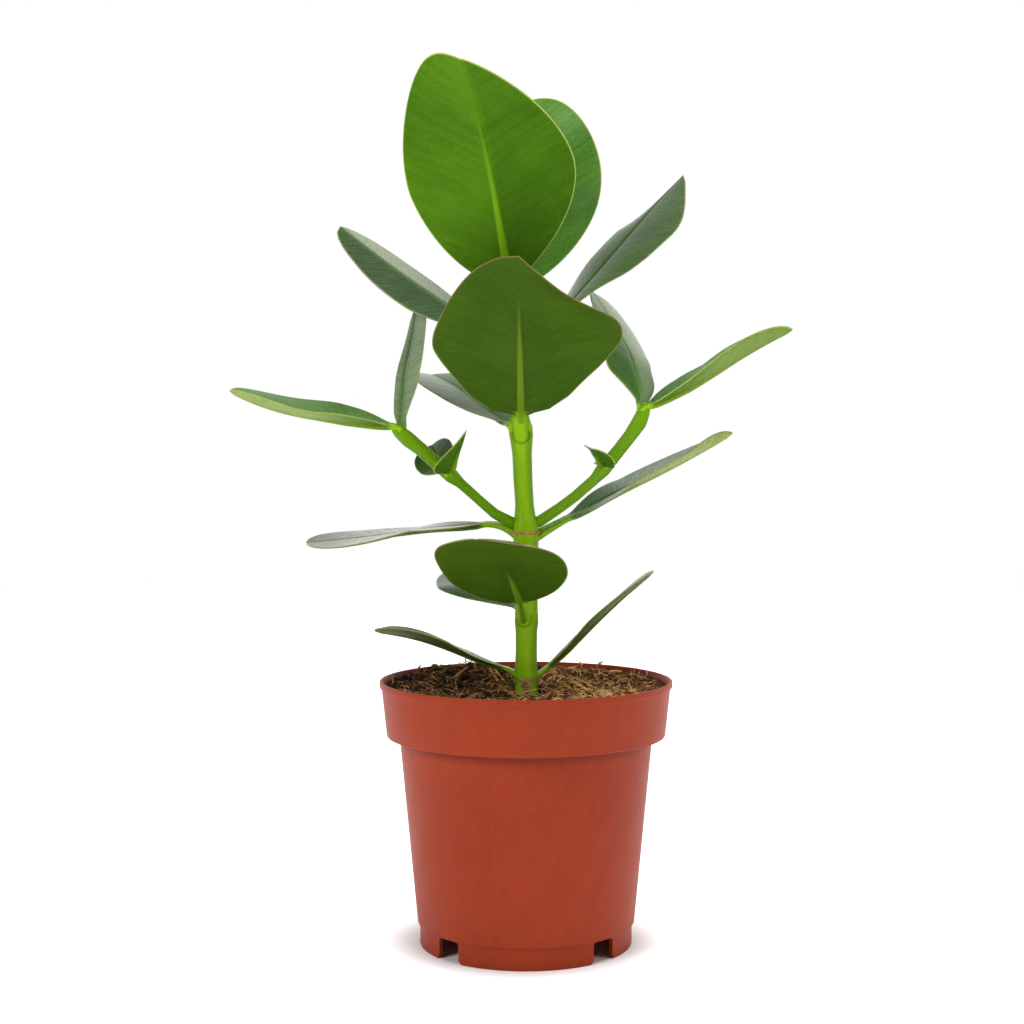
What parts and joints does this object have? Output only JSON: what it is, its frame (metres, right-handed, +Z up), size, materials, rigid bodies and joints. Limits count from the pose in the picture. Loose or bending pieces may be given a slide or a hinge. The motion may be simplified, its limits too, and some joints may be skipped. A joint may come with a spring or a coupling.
{
  "type": "potted clusia",
  "caption": "Young potted houseplant with thick obovate paired leaves on a green branching stem, rooted in soil in a round tapered nursery pot.",
  "frame": {"origin": "middle of the whole plant's footprint on the ground; the pot's axis stands 4.8 mm to +X and 0.9 mm to +Y of it", "axes": "+Z up along the stem, -Y towards the side that the picture shows, with the large top leaf's underside, +X to the right of that view"},
  "size_m": [0.2314, 0.1217, 0.3525],
  "materials": {
    "pot": "satin",
    "soil": "matte",
    "stem": "satin",
    "leaf": "satin"
  },
  "bodies": {
    "root": {"pot": "pot", "soil": "soil", "main_stem": "stem", "left_branch": "stem", "right_branch": "stem", "leaf_a_left": "leaf", "leaf_a_right": "leaf", "leaf_b_front": "leaf", "leaf_b_back": "leaf", "leaf_c_left": "leaf", "leaf_c_right": "leaf", "leaf_d_front": "leaf", "leaf_d_back": "leaf", "leaf_e_left": "leaf", "leaf_e_right": "leaf", "leaf_f_front": "leaf", "leaf_f_back": "leaf", "leaf_left_small_front": "leaf", "leaf_left_small_back": "leaf", "leaf_left_out": "leaf", "leaf_left_up": "leaf", "leaf_right_small_front": "leaf", "leaf_right_small_back": "leaf", "leaf_right_in": "leaf", "leaf_right_out": "leaf"}
  },
  "joints": []
}
